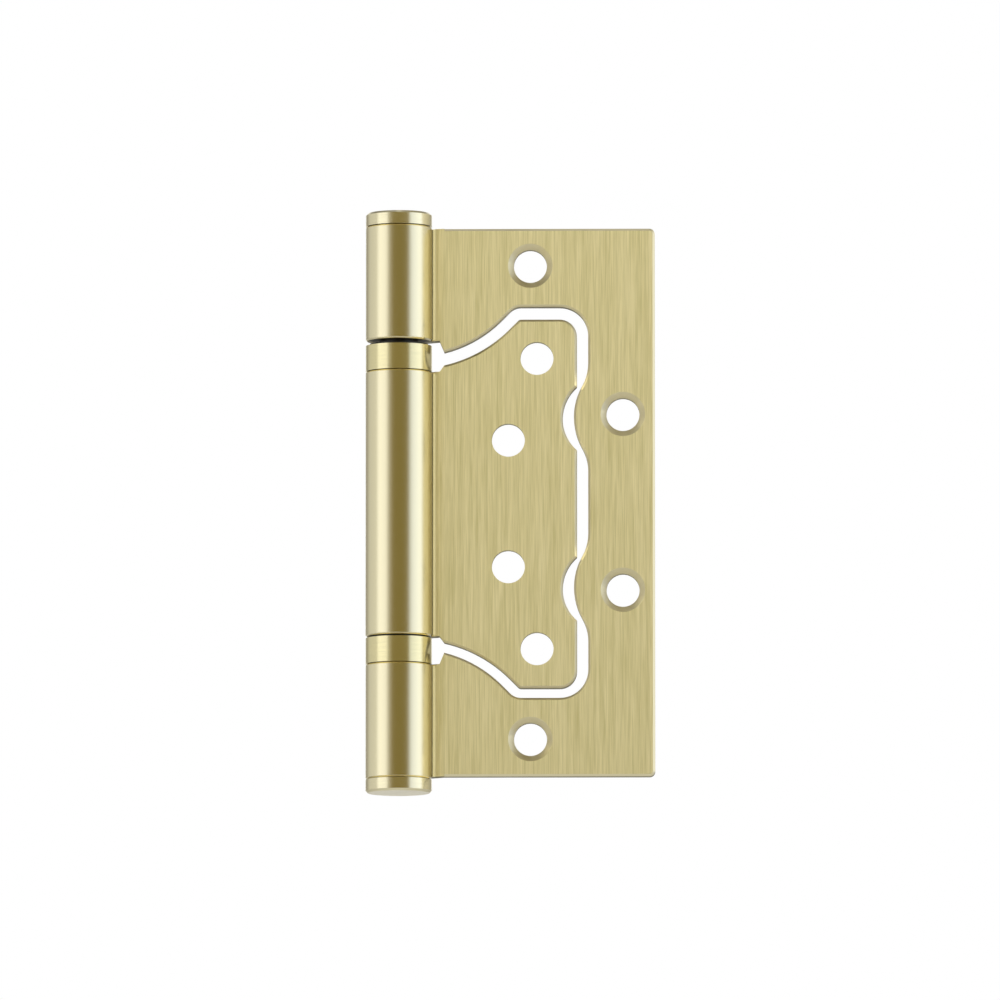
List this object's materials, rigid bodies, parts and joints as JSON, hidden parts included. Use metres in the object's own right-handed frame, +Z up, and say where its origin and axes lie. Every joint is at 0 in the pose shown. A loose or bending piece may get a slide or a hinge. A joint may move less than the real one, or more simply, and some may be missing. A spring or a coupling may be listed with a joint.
{
  "type": "non-mortise hinge",
  "caption": "Flush door hinge: a small leaf nests in a shaped window of the large leaf, round a capped barrel with a pin and ball bearings; brushed pale gold steel.",
  "frame": {"origin": "on the pin's axis, halfway up the leaves", "axes": "+Z up along the pin; +X from the pin to the leaves' far edges in the closed pose; -Y towards the side that the large leaf's countersinks face"},
  "size_m": [0.0525, 0.012, 0.1058],
  "materials": {
    "leaf_sheet": "pale gold plating, brushed along the barrel",
    "barrel_trim": "pale gold plating, satin",
    "bearing_shell": "slightly yellower gold plating, satin, turned",
    "pin_steel": "black oxide, greased",
    "bearing_steel": "black oxide, greased",
    "bearing_cage": "stamped"
  },
  "bodies": {
    "fixed_leaf": {"outer_leaf": "leaf_sheet", "hinge_pin": "pin_steel", "top_cap": "barrel_trim", "bottom_cap": "barrel_trim", "upper_bearing_upper_race": "bearing_steel", "lower_bearing_shell": "bearing_shell", "lower_bearing_lower_race": "bearing_steel"},
    "swinging_leaf": {"inner_leaf": "leaf_sheet", "upper_bearing_shell": "bearing_shell", "upper_bearing_lower_race": "bearing_steel", "lower_bearing_upper_race": "bearing_steel"},
    "upper_ball_set": {"upper_bearing_ball_ring": "bearing_cage"},
    "lower_ball_set": {"lower_bearing_ball_ring": "bearing_cage"}
  },
  "joints": [
    {"name": "leaf_swing", "type": "hinge", "parent": "fixed_leaf", "child": "swinging_leaf", "pos_m": [0, 0, 0], "axis": [0, 0, -1], "continuous": true},
    {"name": "upper_balls_orbit", "type": "hinge", "parent": "fixed_leaf", "child": "upper_ball_set", "pos_m": [0, 0, 0], "axis": [0, 0, -1], "continuous": true},
    {"name": "lower_balls_orbit", "type": "hinge", "parent": "fixed_leaf", "child": "lower_ball_set", "pos_m": [0, 0, 0], "axis": [0, 0, -1], "continuous": true}
  ],
  "couplings": [
    {"joint": "upper_balls_orbit", "follows": "leaf_swing", "ratio": 0.5},
    {"joint": "lower_balls_orbit", "follows": "leaf_swing", "ratio": 0.5}
  ]
}
